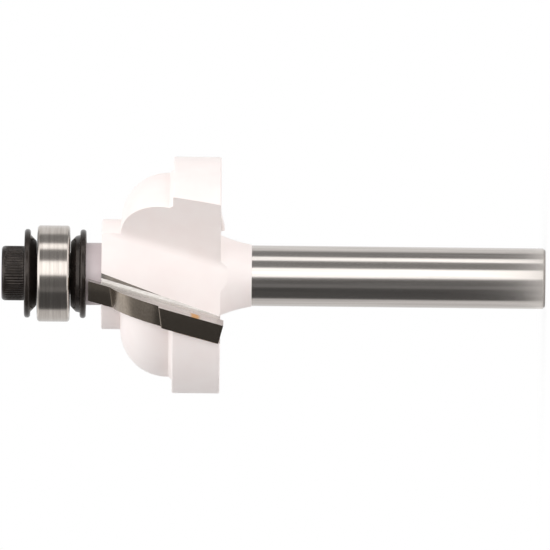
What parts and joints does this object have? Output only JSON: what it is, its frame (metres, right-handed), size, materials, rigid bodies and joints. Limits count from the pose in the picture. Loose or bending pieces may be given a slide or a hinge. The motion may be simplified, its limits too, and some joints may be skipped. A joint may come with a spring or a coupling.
{
  "type": "router bit",
  "caption": "Two-wing carbide-tipped router bit that cuts a stepped quarter-round cove, on a round shank, guided by a ball bearing clamped with a socket-head screw.",
  "frame": {"origin": "centre of the flat end face of the shank, where the bit stands", "axes": "+Z along the bit's axis from the shank to the guide bearing, wing a towards -Y and wing b towards +Y"},
  "size_m": [0.0312, 0.0322, 0.0717],
  "materials": {
    "painted_steel": "satin paint on the cutter body, bare polished shank",
    "carbide": "ground",
    "braze": "as brazed",
    "bearing_steel": "fine ground",
    "sheet_steel": "pressed sheet",
    "ball_steel": "polished",
    "black_steel": "black oxide, slightly glossy"
  },
  "bodies": {
    "tool": {"tool_body": "painted_steel", "carbide_tip_a": "carbide", "carbide_tip_b": "carbide", "braze_a": "braze", "braze_b": "braze", "bearing_inner_ring": "bearing_steel", "dust_washer_front": "black_steel", "dust_washer_rear": "black_steel", "pilot_screw": "black_steel"},
    "guide_ring": {"bearing_outer_ring": "bearing_steel", "bearing_shield_front": "sheet_steel", "bearing_shield_rear": "sheet_steel"},
    "ball_train": {"bearing_cage_front": "sheet_steel", "bearing_cage_rear": "sheet_steel", "bearing_ball_1": "ball_steel", "bearing_ball_2": "ball_steel", "bearing_ball_3": "ball_steel", "bearing_ball_4": "ball_steel", "bearing_ball_5": "ball_steel", "bearing_ball_6": "ball_steel", "bearing_ball_7": "ball_steel"}
  },
  "joints": [
    {"name": "guide_ring_spin", "type": "hinge", "parent": "tool", "child": "guide_ring", "pos_m": [0, 0, 0.06484], "axis": [0, 0, 1], "continuous": true},
    {"name": "ball_train_spin", "type": "hinge", "parent": "tool", "child": "ball_train", "pos_m": [0, 0, 0.06484], "axis": [0, 0, 1], "continuous": true}
  ],
  "couplings": [
    {"joint": "ball_train_spin", "follows": "guide_ring_spin", "ratio": 0.6195}
  ]
}
